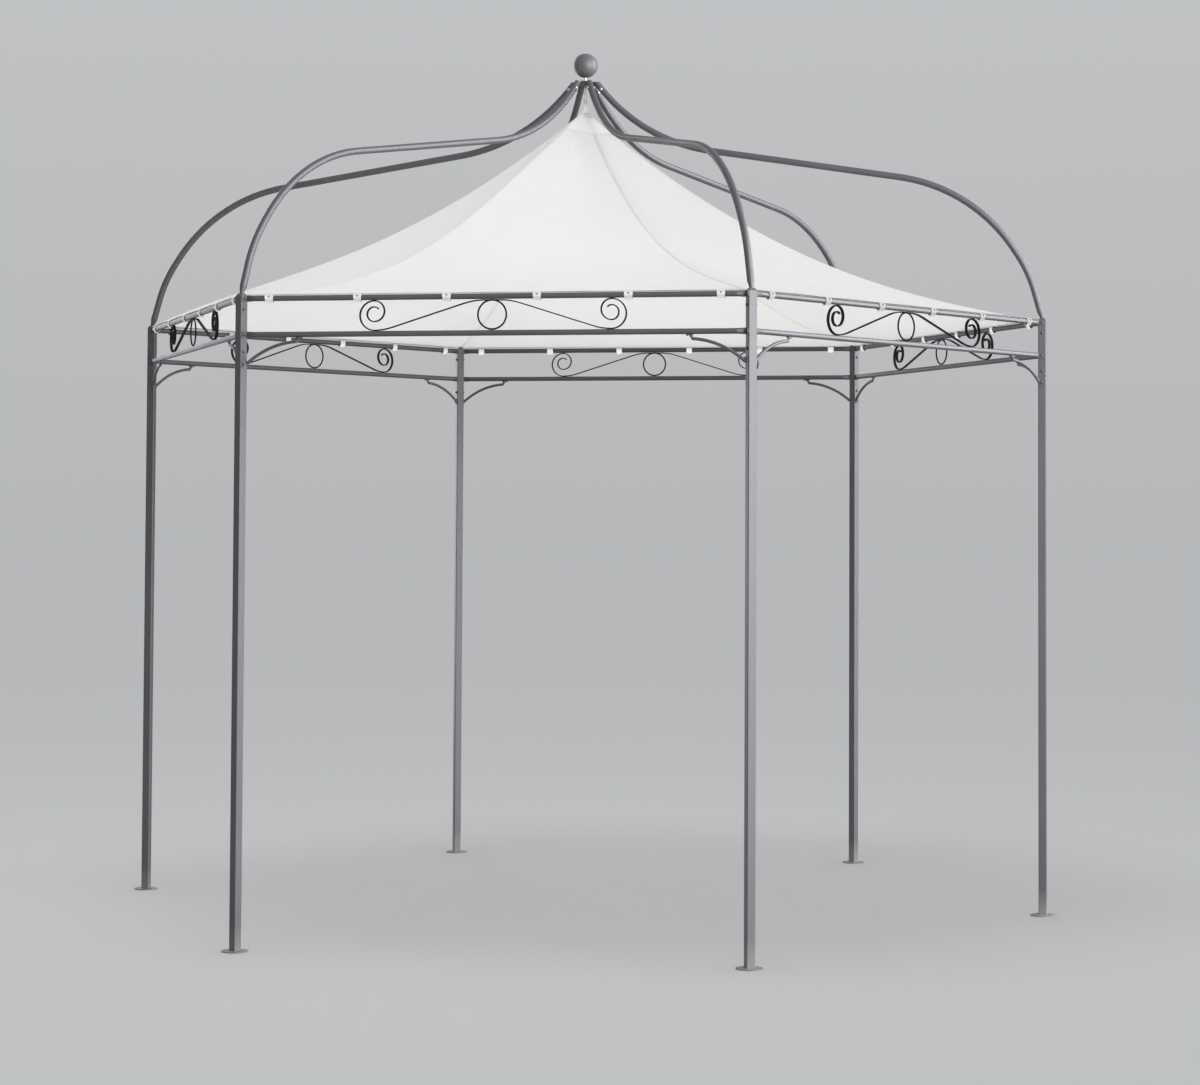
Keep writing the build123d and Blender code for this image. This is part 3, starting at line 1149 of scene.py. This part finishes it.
def makeStrapMaster():
    # the strap that is copied to every place
    vertices, faces, uvs = [], [], []
    for path in (strapPath(), strapFlap()):
        points, mapped = ribbon(path, straps["width"])
        faces += strips(len(path), len(straps["columns"]), start=len(vertices))
        vertices += points
        uvs += mapped
    master = meshPiece("strapMaster", vertices, faces, webbing, uvs)
    for polygon in master.data.polygons:
        polygon.use_smooth = True
    return thickened(master, straps["thickness"], 0.0)


def strapPlaces():
    places = []
    for angle in sideAngles:
        along = outward(angle + pi / 2)
        middle = polar(sideDistance, angle, upperRail)
        for number in range(straps["perSide"]):
            station = number * strapPitch + straps["endInset"] - sideLength / 2
            places.append((middle + along * station, outward(angle)))
    return places


def makeStraps():
    master = makeStrapMaster()
    settings = {**straps, "strap": master}
    tree = NodeTree("roofStraps", webbing, settings, ("strap", "widthSpread", "seed"))
    strap = tree.add("GeometryNodeObjectInfo", {"Object": tree.given("strap")}, "Geometry")
    spread = tree.given("widthSpread")
    least, most = tree.maths("SUBTRACT", 1.0, spread), tree.maths("ADD", 1.0, spread)
    sockets = {2: least, 3: most, "Seed": tree.given("seed")}
    width = tree.add("FunctionNodeRandomValue", sockets, 1, data_type="FLOAT")
    scale = tree.add("ShaderNodeCombineXYZ", {"X": 1.0, "Y": width, "Z": 1.0})
    tree.endWithCopies(tree.given("Geometry"), strap, tree.facing("X"), Scale=scale)
    piece = tree.applyTo(spots("roofStraps", strapPlaces()))
    bpy.data.objects.remove(master)
    return piece


snap = {
    "radius": 0.0038,
    "rimShare": 0.72,            # the top's radius beside the foot's
    "height": 0.0012,
    "sides": 16,
    "tilt": 0.50,                # how far up the strap's outer face it sits
    "lift": 2.15,                # in thicknesses of the strap
}


def makeSnaps():
    # small press studs on the outer face of each strap
    reach = sections["railRadius"] + straps["gap"] + straps["thickness"] * snap["lift"]
    places = []
    for place, facing in strapPlaces():
        tilted = (facing + Vector((0, 0, snap["tilt"]))).normalized()
        places.append((place + tilted * reach, tilted))
    tree = NodeTree("strapSnaps", snapMetal, snap, ("radius",))
    radius = tree.given("radius")
    rim = tree.maths("MULTIPLY", radius, snap["rimShare"])
    stud = tree.cone(snap["sides"], radius, rim, snap["height"])
    tree.endWithCopies(tree.given("Geometry"), stud, tree.facing())
    return tree.applyTo(spots("strapSnaps", places))


roofStraps = makeStraps()
strapSnaps = makeSnaps()
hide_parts("straps")
for piece in (roofStraps, strapSnaps):
    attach(piece, "root")
print("stage: straps made")


# Floor, light and camera

studio = {
    "floorSize": 400.0,
    "floorTone": colour(0.66, 0.66, 0.655),
    "horizon": colour(0.47, 0.48, 0.49),
    "zenith": colour(0.80, 0.82, 0.85),
    "lampTarget": (0, 0, 1.7),
    "frameTint": (0.94, 0.95, 1.0),
    "lamps": {                   # what it lights, azimuth, distance, height, size and radiance
        "rightFront": ("frame", 317, 8.0, 3.4, (4.8, 6.6), 11.0),
        "rightRear": ("frame", 12, 8.0, 4.1, (5.0, 8.0), 9.0),
        "leftRear": ("frame", 135, 9.0, 3.6, (3.6, 7.0), 4.0),
        "overhead": ("cloth", 318, 4.2, 9.0, (6.0, 6.0), 2.55),
        "front": ("cloth", 290, 11.0, 1.7, (6.0, 3.2), 5.0),
        "left": ("cloth", 215, 8.0, 5.5, (5.0, 4.0), 2.0),
        "ground": ("floor", 250, 2.0, 9.0, (3.5, 3.5), 2.5),
        "bounce": ("cloth", 0, 0.0, 0.02, (3.0, 3.0), 2.3),
    },
}


def makeFloor():
    half = studio["floorSize"] / 2
    corners = [(-half, -half, 0), (half, -half, 0), (half, half, 0), (-half, half, 0)]
    plain = Finish("floorPlain", Roughness=0.9).paint(Base_Color=studio["floorTone"])
    return meshPiece("floor", corners, [(0, 1, 2, 3)], plain)


def lit(name, pieces):
    # the pieces that a lamp lights
    group = bpy.data.collections.new(name)
    for piece in pieces:
        group.objects.link(piece)
    return group


def addSoftbox(name, target, azimuth, distance, height, size, radiance):
    # a rectangular soft light of a given radiance, which the camera itself doesn't see
    lamp = bpy.data.lights.new(name, "AREA")
    lamp.shape = "RECTANGLE"
    lamp.size, lamp.size_y = size
    lamp.energy = radiance * size[0] * size[1] * pi
    if target == "frame":
        lamp.color = studio["frameTint"]
    holder = addObject(name, lamp)
    holder.location = polar(distance, radians(azimuth), height)
    aim = Vector(studio["lampTarget"]) - holder.location
    holder.rotation_euler = aim.to_track_quat("-Z", "Y").to_euler()
    holder.visible_camera = False
    holder.light_linking.receiver_collection = litGroups[target]


def addWorld():
    # a pale dome that brightens towards the top
    world = bpy.data.worlds.new("studioWorld")
    world.use_nodes = True
    nodes, links = world.node_tree.nodes, world.node_tree.links
    direction = nodes.new("ShaderNodeTexCoord").outputs["Generated"]
    parts = nodes.new("ShaderNodeSeparateXYZ")
    ramp = nodes.new("ShaderNodeValToRGB")
    ramp.color_ramp.elements[0].color = studio["horizon"]
    ramp.color_ramp.elements[1].color = studio["zenith"]
    links.new(direction, parts.inputs[0])
    links.new(parts.outputs["Z"], ramp.inputs[0])
    links.new(ramp.outputs[0], nodes["Background"].inputs["Color"])
    bpy.context.scene.world = world


camera = {
    "place": (2.263, -10.9065, 1.4472),
    "yaw": -0.1886,
    "pitch": 0.0402,
    "roll": 0.0047,
    "focal": 2894.3,             # in pixels of the photograph
    "middle": (630, 407),        # the picture's principal point
    "imageSize": (1200, 1085),
    "sensorWidth": 36,
    "farthest": 500,
}


def addCamera():
    width, height = camera["imageSize"]
    lens = bpy.data.cameras.new("camera")
    lens.sensor_width = camera["sensorWidth"]
    lens.lens = camera["focal"] / width * camera["sensorWidth"]
    lens.shift_x = -(camera["middle"][0] - width / 2) / width
    lens.shift_y = (camera["middle"][1] - height / 2) / width
    lens.clip_end = camera["farthest"]
    yaw, pitch, roll = camera["yaw"], camera["pitch"], camera["roll"]
    ahead = Vector((sin(yaw) * cos(pitch), cos(yaw) * cos(pitch), sin(pitch)))
    right = Vector((cos(yaw), -sin(yaw), 0))
    up = right.cross(ahead)
    rightTilted = right * cos(roll) + up * sin(roll)
    upTilted = up * cos(roll) - right * sin(roll)
    turn = Matrix((rightTilted, upTilted, -ahead)).transposed()
    holder = addObject("camera", lens)
    holder.matrix_world = Matrix.Translation(camera["place"]) @ turn.to_4x4()
    bpy.context.scene.camera = holder


floor = makeFloor()
roofPieces = [roofCloth, hipSeams, roofStitches, peakPatch, peakTip, peakRing, peakCord]
steelNodes = [node for name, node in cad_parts.items() if not name.startswith("scrollwork")]
litGroups = {
    "floor": lit("floorPieces", [floor]),
    "cloth": lit("clothPieces", [*roofPieces, roofStraps, strapSnaps]),
    "frame": lit("framePieces", [*steelNodes, frameBolts, braceScrews, hubBolts, cordLink]),
}
for lampName, lampSettings in studio["lamps"].items():
    addSoftbox(lampName, *lampSettings)
addWorld()
addCamera()
bpy.context.scene.view_settings.view_transform = "Standard"
print("stage: studio made")
